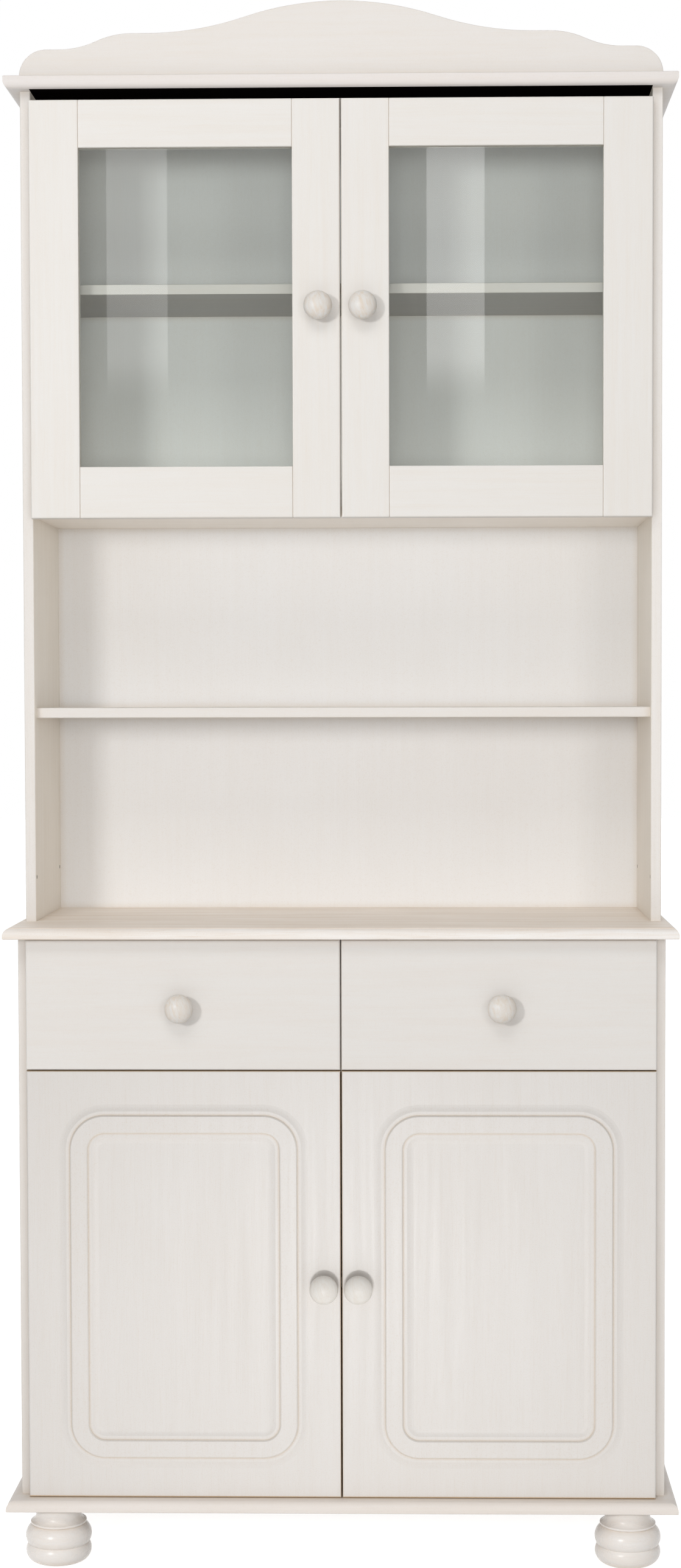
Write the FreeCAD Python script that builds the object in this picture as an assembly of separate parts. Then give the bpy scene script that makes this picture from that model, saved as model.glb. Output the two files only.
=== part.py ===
import FreeCAD, Part
import os

os.makedirs("parts", exist_ok=True)
V = FreeCAD.Vector

# A two-part kitchen buffet: a cabinet with two doors and two drawers on bun feet,
# and a hutch on top with an open nook and a glazed cupboard.
# Millimetres. The origin is on the floor under the middle, +Z is up, the front faces -Y.

# Widths
carcass_width = 802.0
side_thickness = 13.0
worktop_side_overhang = 14.0
base_side_overhang = 14.5
cornice_side_overhang = 18.0

# Depths, from the back plane forward
hutch_depth = 228.0
cabinet_depth = 295.0
worktop_front_overhang = 36.0
base_front_overhang = 38.0
cornice_front_overhang = 22.0
pediment_front_overhang = 6.0

# Heights
foot_height = 71.0
base_thickness = 13.0
cabinet_side_height = 698.0
worktop_thickness = 14.0
hutch_side_height = 1039.5
cornice_thickness = 15.5
shelf_thickness = 13.0
lower_shelf_height = 256.0
drawer_opening_height = 156.0
nook_shelf_height = 257.0
cupboard_floor_height = 509.5
cupboard_shelf_height = 791.0
peg_hole_height = 55.5

# Setbacks of the boards' front edges
hidden_front_setback = 1.0
lower_shelf_setback = 21.0
nook_shelf_setback = 17.0
cupboard_shelf_setback = 26.0
loose_shelf_side_gap = 0.5
loose_shelf_back_gap = 2.0

# Back panels, held in grooves
panel_thickness = 6.0
panel_back_setback = 2.0
panel_groove_depth = 5.0
panel_edge_gap = 0.5

# Rounded edges
board_edge_radius = 1.5
base_top_radius = 9.5
worktop_top_radius = 10.0
cornice_under_radius = 9.5

# Pediment outline, from the ends to the crest
pediment_thickness = 13.0
pediment_edge_radius = 1.2
pediment_corner_width = 32.0
pediment_corner_height = 35.3
pediment_shoulder_width = 19.0
pediment_low_curve_width = 90.0
pediment_low_curve_height = 19.5
pediment_step_width = 20.0
pediment_crest_height = 38.4

# Bun feet: the profile is given as shares of the radius and of the height, from the top down
foot_radius = 41.0
foot_side_inset = 45.5
foot_front_inset = 3.0
foot_back_inset = 43.0
foot_collar_shares = [(0.685, 1.0), (0.685, 0.845)]
foot_flare_shares = [(0.722, 0.765), (0.845, 0.711)]
foot_bead_shares = [(0.845, 0.683), (0.812, 0.662)]
foot_bulb_shares = [(1.0, 0.455), (0.922, 0.325)]
foot_toe_shares = [(0.992, 0.208), (0.7, 0.0)]
stud_radius = 4.0
stud_gap = 0.05
stud_foot_length = 30.0
stud_base_length = 10.0
stud_end_gap = 1.0

# Doors and drawer fronts
door_standoff = 1.5
door_edge_radius = 2.0
door_back_radius = 3.0
door_seam_radius = 1.2
front_half_gap = 0.8
door_side_lap_width = 1.0
upper_door_thickness = 16.0
upper_door_drop_height = 2.5
upper_door_top_gap = 13.9
upper_hinge_stile_width = 61.5
upper_closing_stile_width = 59.5
upper_top_rail_height = 59.3
upper_bottom_rail_height = 64.0
lower_door_thickness = 15.0
lower_door_bottom_gap = 0.6
lower_door_top_gap = 1.2

# Glazing
tenon_length = 22.0
tenon_thickness = 7.0
tenon_front_inset = 4.5
tenon_shoulder_width = 12.0
mortise_end_gap = 0.5
rebate_width = 8.0
rebate_front_inset = 5.0
glass_thickness = 4.0
glass_edge_gap = 1.0

# Raised band on the lower doors
band_side_margin = 55.0
band_top_margin = 56.8
band_bottom_margin = 51.9
band_width = 19.0
band_outer_radius = 41.0
band_wall_width = 2.0
band_wall_height = 1.8
band_fillet_width = 4.6
band_cove_width = 8.3
band_cove_height = 1.75
band_root_depth = 2.0

# Drawers
drawer_front_thickness = 16.0
drawer_front_top_gap = 1.4
drawer_front_lap_height = 7.0
drawer_divider_half_gap = 0.8
drawer_side_thickness = 12.0
drawer_side_gap = 2.0
drawer_side_bottom_gap = 12.6
drawer_side_height = 118.0
drawer_back_gap = 44.5
drawer_housing_depth = 6.0
drawer_back_thickness = 12.0
drawer_back_inset = 2.0
drawer_back_housing_depth = 4.0
drawer_bottom_thickness = 5.0
drawer_bottom_height = 8.0
drawer_bottom_groove_depth = 5.0
runner_height = 10.0
runner_bottom_height = 54.0
runner_engagement_depth = 6.0
runner_housing_depth = 3.0
runner_front_setback = 13.0
runner_back_gap = 14.0
runner_gap = 0.4
runner_end_gap = 2.0

# Knobs: the ball is a flattened one on a waisted neck
knob_radius = 17.75
knob_length = 30.0
knob_foot_share = 0.5
knob_waist_shares = (0.42, 0.1)
knob_neck_shares = (0.4845, 0.8748)
knob_ball_half_depth = 12.5
upper_knob_inset = 27.0
upper_knob_height = 261.0
lower_knob_inset = 20.4
lower_knob_top_inset = 269.0
drawer_knob_top_inset = 84.1
drawer_knob_middle_offset = 3.4
knob_screw_radius = 2.0
knob_screw_gap = 0.05
knob_screw_grip = 12.0
knob_screw_end_gap = 1.5
knob_screw_head_radius = 4.5
knob_screw_head_height = 2.6

# Hinges: an arm on the side panel ends in an eye, and the cup in the door carries the pin
upper_hinge_end_height = 90.0
lower_hinge_end_height = 75.0
hinge_pin_inset = 6.0
hinge_pin_depth = 8.0
hinge_pin_radius = 1.5
hinge_pin_gap = 0.05
hinge_eye_radius = 2.6
hinge_bar_width = 3.0
hinge_leg_inset = 12.0
hinge_bar_setback = 2.0
hinge_arm_height = 10.0
hinge_cup_height = 16.0
hinge_plate_thickness = 1.5
hinge_plate_length = 40.0
hinge_pocket_outer_width = 3.5
hinge_pocket_inner_width = 16.0
hinge_pocket_front_depth = 3.3
hinge_ear_thickness = 1.5
hinge_ear_setback = 0.5
hinge_wall_thickness = 1.2
hinge_flange_length = 24.0
hinge_flange_thickness = 1.0
hinge_screw_radius = 1.5
hinge_screw_gap = 0.05
hinge_screw_head_radius = 3.0
hinge_screw_head_height = 1.2
hinge_screw_length = 9.0
hinge_screw_end_gap = 0.5
hinge_flange_near_inset = 22.0
hinge_flange_far_inset = 34.0
hinge_plate_near_inset = 13.0
hinge_plate_far_inset = 30.0

# Dowels and shelf pins
dowel_radius = 3.0
dowel_gap = 0.05
dowel_face_depth = 8.0
dowel_edge_depth = 20.0
dowel_end_gap = 0.5
dowel_front_inset = 28.0
dowel_back_inset = 26.0
dowel_step_length = 36.0
pediment_dowel_inset = 151.0
pin_radius = 2.5
pin_gap = 0.05
pin_depth = 8.0
pin_hole_depth = 9.0
peg_hole_front_depth = 8.5
peg_hole_back_depth = 7.5
pin_head_size = 7.0
pin_head_height = 6.0
pin_shelf_inset = 30.0
peg_front_setback = 10.0
peg_back_setback = 16.0

# Edges are found on a plane to within this distance
edge_tolerance = 0.001

# Derived planes
overall_depth = cabinet_depth + door_standoff + drawer_front_thickness + knob_length
back_y = overall_depth / 2
hutch_front_y = back_y - hutch_depth
cabinet_front_y = back_y - cabinet_depth
panel_back_y = back_y - panel_back_setback
panel_front_y = panel_back_y - panel_thickness
side_outer_x = carcass_width / 2
side_inner_x = side_outer_x - side_thickness
worktop_width = carcass_width + 2 * worktop_side_overhang
worktop_depth = cabinet_depth + worktop_front_overhang
base_width = carcass_width + 2 * base_side_overhang
base_depth = cabinet_depth + base_front_overhang
cornice_width = carcass_width + 2 * cornice_side_overhang
cornice_depth = hutch_depth + cornice_front_overhang
base_top_z = foot_height + base_thickness
cabinet_top_z = base_top_z + cabinet_side_height
worktop_top_z = cabinet_top_z + worktop_thickness
hutch_top_z = worktop_top_z + hutch_side_height
cornice_top_z = hutch_top_z + cornice_thickness
drawer_board_top_z = cabinet_top_z - drawer_opening_height
drawer_board_z = drawer_board_top_z - shelf_thickness
front_top_z = cabinet_top_z - drawer_front_top_gap
front_low_z = drawer_board_top_z - drawer_front_lap_height
lower_shelf_z = base_top_z + lower_shelf_height
nook_shelf_z = worktop_top_z + nook_shelf_height
cupboard_floor_z = worktop_top_z + cupboard_floor_height
cupboard_shelf_z = worktop_top_z + cupboard_shelf_height
upper_door_back_y = hutch_front_y - door_standoff
upper_door_front_y = upper_door_back_y - upper_door_thickness
lower_door_back_y = cabinet_front_y - door_standoff
lower_door_front_y = lower_door_back_y - lower_door_thickness
drawer_front_y = lower_door_back_y - drawer_front_thickness
door_inner_x = front_half_gap
door_outer_x = side_inner_x
lower_door_outer_x = side_inner_x + door_side_lap_width


def block(x_a, x_b, y_a, y_b, z_a, z_b):
    corner = V(min(x_a, x_b), min(y_a, y_b), min(z_a, z_b))
    return Part.makeBox(abs(x_b - x_a), abs(y_b - y_a), abs(z_b - z_a), corner)


def rod(point, direction, radius, length):
    return Part.makeCylinder(radius, length, point, direction)


def on_plane(edge, axis, value):
    box = edge.BoundBox
    low = getattr(box, axis + "Min")
    high = getattr(box, axis + "Max")
    return abs(low - value) < edge_tolerance and abs(high - value) < edge_tolerance


def corner_edges(shape, planes):
    return [edge for edge in shape.Edges if all(on_plane(edge, axis, value) for axis, value in planes)]


def eased(shape, radius, corners):
    edges = []
    for planes in corners:
        edges += corner_edges(shape, planes)
    return shape.makeFillet(radius, edges)


def joined(pieces):
    result = pieces[0]
    for piece in pieces[1:]:
        result = result.fuse(piece)
    return result.removeSplitter()


def without(shape, tools):
    for tool in tools:
        shape = shape.cut(tool)
    return shape


def mirrored(shape):
    return shape.mirror(V(0, 0, 0), V(1, 0, 0))


def single(shape):
    return shape.Solids[0]


def save(name, shape):
    shape.exportStep("parts/" + name + ".step")


def save_group(name, shapes):
    solids = []
    for shape in shapes:
        solids += shape.Solids
    save(name, Part.makeCompound(solids))


# Dowels: each joint has its point on the joint plane and points from the face into the edge
def dowel_bore(point, direction):
    start = point - direction * dowel_face_depth
    return rod(start, direction, dowel_radius + dowel_gap, dowel_face_depth + dowel_edge_depth)


def dowel(point, direction):
    start = point - direction * (dowel_face_depth - dowel_end_gap)
    return rod(start, direction, dowel_radius, dowel_face_depth + dowel_edge_depth - 2 * dowel_end_gap)


def both_sides(joints):
    flipped = [(V(-point.x, point.y, point.z), V(-way.x, way.y, way.z)) for point, way in joints]
    return joints + flipped


def bores(joints):
    return [dowel_bore(point, way) for point, way in joints]


up = V(0, 0, 1)
down = V(0, 0, -1)
inward = V(-1, 0, 0)
outward = V(1, 0, 0)
side_middle_x = (side_inner_x + side_outer_x) / 2
dowel_back_y = panel_front_y - dowel_back_inset
cabinet_dowel_ys = [
    cabinet_front_y + dowel_front_inset, hutch_front_y + dowel_step_length * 2, dowel_back_y]
hutch_dowel_ys = [hutch_front_y + dowel_step_length, dowel_back_y - dowel_step_length]

foot_joints = [(V(side_middle_x, y, base_top_z), up) for y in cabinet_dowel_ys]
worktop_joints = [(V(side_middle_x, y, cabinet_top_z), down) for y in cabinet_dowel_ys]
hutch_joints = [(V(side_middle_x, y, worktop_top_z), up) for y in hutch_dowel_ys]
cornice_joints = [(V(side_middle_x, y, hutch_top_z), down) for y in hutch_dowel_ys]
drawer_board_joints = [
    (V(side_inner_x, y, drawer_board_z + shelf_thickness / 2), inward) for y in cabinet_dowel_ys]
nook_middle_z = nook_shelf_z + shelf_thickness / 2
floor_middle_z = cupboard_floor_z + shelf_thickness / 2
nook_joints = [(V(side_inner_x, y, nook_middle_z), inward) for y in hutch_dowel_ys]
floor_joints = [(V(side_inner_x, y, floor_middle_z), inward) for y in hutch_dowel_ys]
divider_low_joints = [(V(0, y, drawer_board_top_z), up) for y in cabinet_dowel_ys]
divider_top_joints = [(V(0, y, cabinet_top_z), down) for y in cabinet_dowel_ys]
pediment_front_y = hutch_front_y - pediment_front_overhang
pediment_middle_y = pediment_front_y + pediment_thickness / 2
pediment_joints = [(V(side_outer_x - pediment_dowel_inset, pediment_middle_y, cornice_top_z), up)]

paired_joints = [
    foot_joints, worktop_joints, hutch_joints, cornice_joints,
    drawer_board_joints, nook_joints, floor_joints, pediment_joints]
all_joints = divider_low_joints + divider_top_joints
for joints in paired_joints:
    all_joints = all_joints + both_sides(joints)
save_group("assembly_dowels", [dowel(point, way) for point, way in all_joints])


# Bun feet
def foot_point(shares):
    return V(shares[0] * foot_radius, 0, shares[1] * foot_height)


def bun_foot():
    top = V(0, 0, foot_height)
    collar = [foot_point(shares) for shares in foot_collar_shares]
    flare = [foot_point(shares) for shares in foot_flare_shares]
    bead = [foot_point(shares) for shares in foot_bead_shares]
    bulb = [foot_point(shares) for shares in foot_bulb_shares]
    toe = [foot_point(shares) for shares in foot_toe_shares]
    edges = [
        Part.LineSegment(top, collar[0]).toShape(),
        Part.LineSegment(collar[0], collar[1]).toShape(),
        Part.Arc(collar[1], flare[0], flare[1]).toShape(),
        Part.LineSegment(flare[1], bead[0]).toShape(),
        Part.LineSegment(bead[0], bead[1]).toShape(),
        Part.Arc(bead[1], bulb[0], bulb[1]).toShape(),
        Part.Arc(bulb[1], toe[0], toe[1]).toShape(),
        Part.LineSegment(toe[1], V(0, 0, 0)).toShape(),
        Part.LineSegment(V(0, 0, 0), top).toShape()]
    return Part.Face(Part.Wire(edges)).revolve(V(0, 0, 0), up, 360)


foot_x = side_outer_x - foot_side_inset
foot_ys = [cabinet_front_y + foot_front_inset, back_y - foot_back_inset]
foot_places = [V(side * foot_x, y, 0) for y in foot_ys for side in (-1, 1)]
stud_hole_radius = stud_radius + stud_gap
stud_hole = rod(
    V(0, 0, foot_height - stud_foot_length - stud_end_gap), up,
    stud_hole_radius, stud_foot_length + stud_base_length + 2 * stud_end_gap)
stud = rod(V(0, 0, foot_height - stud_foot_length), up, stud_radius, stud_foot_length + stud_base_length)
foot = bun_foot().cut(stud_hole)
save_group("bun_feet", [foot.translated(place) for place in foot_places])


# Base board and worktop
def rounded_board(width, depth, z_low, thickness, round_z, ease_z, radius):
    x = width / 2
    y = back_y - depth
    board = block(-x, x, y, back_y, z_low, z_low + thickness)
    round_edges = [[("Y", y), ("Z", round_z)], [("X", -x), ("Z", round_z)], [("X", x), ("Z", round_z)]]
    board = eased(board, radius, round_edges)
    low_edges = [[("Y", y), ("Z", ease_z)], [("X", -x), ("Z", ease_z)], [("X", x), ("Z", ease_z)]]
    return eased(board, board_edge_radius, low_edges)


base_board = rounded_board(
    base_width, base_depth, foot_height, base_thickness, base_top_z, foot_height, base_top_radius)
base_board = without(base_board, [stud_hole.translated(place) for place in foot_places])
base_board = without(base_board, bores(both_sides(foot_joints)))
save("base_board", single(base_board))

worktop = rounded_board(
    worktop_width, worktop_depth, cabinet_top_z, worktop_thickness,
    worktop_top_z, cabinet_top_z, worktop_top_radius)
worktop = without(worktop, bores(both_sides(worktop_joints + hutch_joints) + divider_top_joints))
save("worktop", single(worktop))


# Hinges, in a frame of inboard and backward distances from the pin
def hinge_point(pin, inboard, back, height):
    return V(pin.x - inboard, pin.y + back, pin.z + height)


def hinge_block(pin, in_a, in_b, back_a, back_b, half_height):
    low = hinge_point(pin, in_a, back_a, -half_height)
    high = hinge_point(pin, in_b, back_b, half_height)
    return block(low.x, high.x, low.y, high.y, low.z, high.z)


cup_half = hinge_cup_height / 2
arm_half = hinge_arm_height / 2
leg_far = hinge_leg_inset + hinge_bar_width / 2
leg_near = hinge_leg_inset - hinge_bar_width / 2
bar_near = hinge_pin_depth + door_standoff + hinge_bar_setback
bar_far = bar_near + hinge_bar_width


def hinge_pocket(pin):
    pocket = hinge_block(
        pin, -hinge_pocket_outer_width, hinge_pocket_inner_width,
        -hinge_pocket_front_depth, hinge_pin_depth, cup_half)
    recess = hinge_block(
        pin, hinge_pocket_inner_width, hinge_pocket_inner_width + hinge_flange_length,
        hinge_pin_depth - hinge_flange_thickness, hinge_pin_depth, cup_half)
    return [pocket, recess]


def hinge_screw(point, direction):
    head = rod(point - direction * hinge_screw_head_height, direction,
               hinge_screw_head_radius, hinge_screw_head_height)
    shank = rod(point, direction, hinge_screw_radius, hinge_screw_length)
    return joined([head, shank])


def hinge_screw_bore(point, direction):
    length = hinge_screw_length + hinge_screw_end_gap
    return rod(point, direction, hinge_screw_radius + hinge_screw_gap, length)


forward = V(0, -1, 0)
backward = V(0, 1, 0)


def flange_screw_points(pin):
    offsets = (hinge_flange_near_inset, hinge_flange_far_inset)
    return [hinge_point(pin, offset, hinge_pin_depth, 0) for offset in offsets]


def plate_screw_points(pin, side_gap):
    inboard = hinge_plate_thickness - side_gap
    offsets = (hinge_plate_near_inset, hinge_plate_far_inset)
    return [hinge_point(pin, inboard, bar_near + offset, 0) for offset in offsets]


def hinge_cup(pin):
    ear_back = hinge_pin_depth - hinge_ear_setback
    ears = []
    for side in (-1, 1):
        low = side * cup_half
        high = side * (cup_half - hinge_ear_thickness)
        near = hinge_point(pin, -hinge_pocket_outer_width, -hinge_pocket_front_depth, low)
        far = hinge_point(pin, hinge_pocket_inner_width, ear_back, high)
        ears.append(block(near.x, far.x, near.y, far.y, near.z, far.z))
    wall_x = hinge_pocket_inner_width - hinge_wall_thickness
    wall = hinge_block(
        pin, wall_x, hinge_pocket_inner_width, -hinge_pocket_front_depth, hinge_pin_depth, cup_half)
    flange = hinge_block(
        pin, wall_x, hinge_pocket_inner_width + hinge_flange_length,
        hinge_pin_depth - hinge_flange_thickness, hinge_pin_depth, cup_half)
    pin_half = cup_half - hinge_ear_thickness / 2
    pin_rod = rod(hinge_point(pin, 0, 0, -pin_half), up, hinge_pin_radius, 2 * pin_half)
    cup = joined([wall, flange, pin_rod] + ears)
    return without(cup, [hinge_screw_bore(point, forward) for point in flange_screw_points(pin)])


def hinge_arm(pin, side_gap):
    half_bar = hinge_bar_width / 2
    eye = rod(hinge_point(pin, 0, 0, -arm_half), up, hinge_eye_radius, hinge_arm_height)
    first = hinge_block(pin, 0, leg_far, -half_bar, half_bar, arm_half)
    leg = hinge_block(pin, leg_near, leg_far, -half_bar, bar_far, arm_half)
    plate_face = hinge_plate_thickness - side_gap
    bar = hinge_block(pin, plate_face, leg_far, bar_near, bar_far, arm_half)
    plate = hinge_block(pin, -side_gap, plate_face, bar_near, bar_near + hinge_plate_length, cup_half)
    hole = rod(hinge_point(pin, 0, 0, -cup_half), up, hinge_pin_radius + hinge_pin_gap, hinge_cup_height)
    arm = joined([eye, first, leg, bar, plate]).cut(hole)
    return without(arm, [hinge_screw_bore(point, outward) for point in plate_screw_points(pin, side_gap)])


upper_door_z = cupboard_floor_z - upper_door_drop_height
upper_door_top_z = hutch_top_z - upper_door_top_gap
lower_door_z = base_top_z + lower_door_bottom_gap
lower_door_top_z = front_low_z - lower_door_top_gap
upper_pin_x = door_outer_x - hinge_pin_inset
lower_pin_x = lower_door_outer_x - hinge_pin_inset
upper_side_gap = side_inner_x - upper_pin_x
lower_side_gap = side_inner_x - lower_pin_x
upper_pins = [
    V(upper_pin_x, upper_door_back_y - hinge_pin_depth, z)
    for z in (upper_door_z + upper_hinge_end_height, upper_door_top_z - upper_hinge_end_height)]
lower_pins = [
    V(lower_pin_x, lower_door_back_y - hinge_pin_depth, z)
    for z in (lower_door_z + lower_hinge_end_height, lower_door_top_z - lower_hinge_end_height)]

arms = [hinge_arm(pin, upper_side_gap) for pin in upper_pins]
arms += [hinge_arm(pin, lower_side_gap) for pin in lower_pins]
save_group("hinge_arms", arms + [mirrored(arm) for arm in arms])

upper_plate_points = []
for pin in upper_pins:
    upper_plate_points += plate_screw_points(pin, upper_side_gap)
lower_plate_points = []
for pin in lower_pins:
    lower_plate_points += plate_screw_points(pin, lower_side_gap)
plate_screws = [hinge_screw(point, outward) for point in upper_plate_points + lower_plate_points]
studs = [stud.translated(place) for place in foot_places]
save_group("carcass_screws", studs + plate_screws + [mirrored(screw) for screw in plate_screws])


# Shelf pins
def shelf_pin(y, shelf_z):
    peg_z = shelf_z - pin_head_height / 2
    peg = rod(V(side_inner_x, y, peg_z), outward, pin_radius, pin_depth)
    half_head = pin_head_size / 2
    head = block(
        side_inner_x - pin_head_size, side_inner_x, y - half_head, y + half_head,
        shelf_z - pin_head_height, shelf_z)
    return joined([head, peg])


def pin_hole(y, peg_z, depth):
    return rod(V(side_inner_x, y, peg_z), outward, pin_radius + pin_gap, depth)


lower_pin_ys = [cabinet_front_y + lower_shelf_setback + pin_shelf_inset, panel_front_y - pin_shelf_inset]
upper_pin_ys = [hutch_front_y + cupboard_shelf_setback + pin_shelf_inset, panel_front_y - pin_shelf_inset]
pins = [shelf_pin(y, lower_shelf_z) for y in lower_pin_ys]
pins += [shelf_pin(y, cupboard_shelf_z) for y in upper_pin_ys]
save_group("shelf_pins", pins + [mirrored(piece) for piece in pins])

lower_peg_z = lower_shelf_z - pin_head_height / 2
upper_peg_z = cupboard_shelf_z - pin_head_height / 2
nook_peg_z = worktop_top_z + peg_hole_height
lower_pin_holes = [pin_hole(y, lower_peg_z, pin_hole_depth) for y in lower_pin_ys]
upper_pin_holes = [pin_hole(y, upper_peg_z, pin_hole_depth) for y in upper_pin_ys]
peg_holes = [
    pin_hole(hutch_front_y + peg_front_setback, nook_peg_z, peg_hole_front_depth),
    pin_hole(back_y - peg_back_setback, nook_peg_z, peg_hole_back_depth)]

# Drawer runners: strips let into the sides and into the divider
runner_z = drawer_board_top_z + runner_bottom_height
runner_front_y = cabinet_front_y + runner_front_setback
runner_back_y = panel_front_y - runner_back_gap
runner_reach = drawer_side_gap + runner_engagement_depth
divider_face_x = shelf_thickness / 2


def runner_strip(face_x, way, depth_in, reach):
    return block(
        face_x - way * depth_in, face_x + way * reach, runner_front_y, runner_back_y,
        runner_z, runner_z + runner_height)


outer_runner = runner_strip(side_inner_x, -1, runner_housing_depth, runner_reach)
inner_runner = runner_strip(divider_face_x, 1, runner_housing_depth, runner_reach)
save_group("drawer_runners", [outer_runner, inner_runner, mirrored(outer_runner), mirrored(inner_runner)])


# Sides
def side_panel(front_y, z_low, z_high):
    side = block(side_inner_x, side_outer_x, front_y, back_y, z_low, z_high)
    front_edges = [[("Y", front_y), ("X", side_inner_x)], [("Y", front_y), ("X", side_outer_x)]]
    side = eased(side, board_edge_radius, front_edges)
    groove = block(
        side_inner_x, side_inner_x + panel_groove_depth, panel_front_y, panel_back_y, z_low, z_high)
    return side.cut(groove)


lower_side = side_panel(cabinet_front_y, base_top_z, cabinet_top_z)
lower_side = without(lower_side, bores(foot_joints + worktop_joints + drawer_board_joints))
lower_side = without(lower_side, lower_pin_holes + [outer_runner])
lower_side = without(lower_side, [hinge_screw_bore(point, outward) for point in lower_plate_points])
save("cabinet_side_right", single(lower_side))
save("cabinet_side_left", single(mirrored(lower_side)))

hutch_side = side_panel(hutch_front_y, worktop_top_z, hutch_top_z)
hutch_side = without(hutch_side, bores(hutch_joints + cornice_joints + nook_joints + floor_joints))
hutch_side = without(hutch_side, upper_pin_holes + peg_holes)
hutch_side = without(hutch_side, [hinge_screw_bore(point, outward) for point in upper_plate_points])
save("hutch_side_right", single(hutch_side))
save("hutch_side_left", single(mirrored(hutch_side)))

# Back panels
panel_x = side_inner_x + panel_groove_depth - panel_edge_gap
save("cabinet_back_panel", block(-panel_x, panel_x, panel_front_y, panel_back_y, base_top_z, cabinet_top_z))
save("hutch_back_panel", block(-panel_x, panel_x, panel_front_y, panel_back_y, worktop_top_z, hutch_top_z))


# Shelves and fixed boards
def shelf_board(half_width, front_y, shelf_back_y, z_low):
    z_high = z_low + shelf_thickness
    board = block(-half_width, half_width, front_y, shelf_back_y, z_low, z_high)
    front_edges = [[("Y", front_y), ("Z", z_low)], [("Y", front_y), ("Z", z_high)]]
    return eased(board, board_edge_radius, front_edges)


loose_half_width = side_inner_x - loose_shelf_side_gap
loose_back_y = panel_front_y - loose_shelf_back_gap
lower_shelf = shelf_board(
    loose_half_width, cabinet_front_y + lower_shelf_setback, loose_back_y, lower_shelf_z)
save("lower_cupboard_shelf", lower_shelf)

cupboard_shelf = shelf_board(
    loose_half_width, hutch_front_y + cupboard_shelf_setback, loose_back_y, cupboard_shelf_z)
save("cupboard_shelf", cupboard_shelf)

nook_shelf = shelf_board(side_inner_x, hutch_front_y + nook_shelf_setback, panel_front_y, nook_shelf_z)
save("nook_shelf", single(without(nook_shelf, bores(both_sides(nook_joints)))))

cupboard_floor = shelf_board(
    side_inner_x, hutch_front_y + hidden_front_setback, panel_front_y, cupboard_floor_z)
save("cupboard_floor", single(without(cupboard_floor, bores(both_sides(floor_joints)))))

hidden_front_y = cabinet_front_y + hidden_front_setback
drawer_board = shelf_board(side_inner_x, hidden_front_y, panel_front_y, drawer_board_z)
drawer_board = without(drawer_board, bores(both_sides(drawer_board_joints) + divider_low_joints))
save("drawer_board", single(drawer_board))

divider = block(
    -divider_face_x, divider_face_x, hidden_front_y, panel_front_y, drawer_board_top_z, cabinet_top_z)
divider = without(divider, bores(divider_low_joints + divider_top_joints))
divider = without(divider, [inner_runner, mirrored(inner_runner)])
save("drawer_divider", single(divider))

# Cornice
cornice = rounded_board(
    cornice_width, cornice_depth, hutch_top_z, cornice_thickness,
    hutch_top_z, cornice_top_z, cornice_under_radius)
cornice = without(cornice, bores(both_sides(cornice_joints + pediment_joints)))
save("cornice", single(cornice))


# Pediment: quarter rounds at the ends, then two S-curves on each side up to the crest
def s_curve(start, end):
    run = (end.x - start.x) / 2
    rise = (end.z - start.z) / 2
    radius = (run * run + rise * rise) / (2 * rise)
    middle = V(start.x + run, 0, start.z + rise)
    low_centre = V(start.x, 0, start.z + radius)
    high_centre = V(end.x, 0, end.z - radius)
    low_way = (start + middle) * 0.5 - low_centre
    high_way = (end + middle) * 0.5 - high_centre
    low_via = low_centre + low_way.normalize() * radius
    high_via = high_centre + high_way.normalize() * radius
    return [Part.Arc(start, low_via, middle).toShape(), Part.Arc(middle, high_via, end).toShape()]


def pediment_board():
    end = V(side_outer_x, 0, 0)
    corner_x = side_outer_x - pediment_corner_width
    corner_top = V(corner_x, 0, pediment_corner_height)
    shoulder = V(corner_x - pediment_shoulder_width, 0, pediment_corner_height)
    step = V(shoulder.x - pediment_low_curve_width, 0, shoulder.z + pediment_low_curve_height)
    step_end = V(step.x - pediment_step_width, 0, step.z)
    crest = V(0, 0, step_end.z + pediment_crest_height)
    quarter_start = V(side_outer_x, 0, 0)
    quarter_via_share = 0.5 ** 0.5
    quarter_via = V(
        corner_x + pediment_corner_width * quarter_via_share, 0, pediment_corner_height * quarter_via_share)
    edges = [Part.Arc(quarter_start, quarter_via, corner_top).toShape()]
    edges.append(Part.LineSegment(corner_top, shoulder).toShape())
    edges += s_curve(shoulder, step)
    edges.append(Part.LineSegment(step, step_end).toShape())
    edges += s_curve(step_end, crest)
    edges.append(Part.LineSegment(crest, V(0, 0, 0)).toShape())
    edges.append(Part.LineSegment(V(0, 0, 0), end).toShape())
    half = Part.Face(Part.Wire(edges)).extrude(V(0, pediment_thickness, 0))
    return joined([half, mirrored(half)]).translated(V(0, pediment_front_y, cornice_top_z))


pediment = pediment_board()
front_outline = [
    edge for edge in pediment.Edges
    if on_plane(edge, "Y", pediment_front_y) and not on_plane(edge, "Z", cornice_top_z)]
pediment = pediment.makeFillet(pediment_edge_radius, front_outline)
pediment = without(pediment, bores(both_sides(pediment_joints)))
save("pediment", single(pediment))


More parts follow.
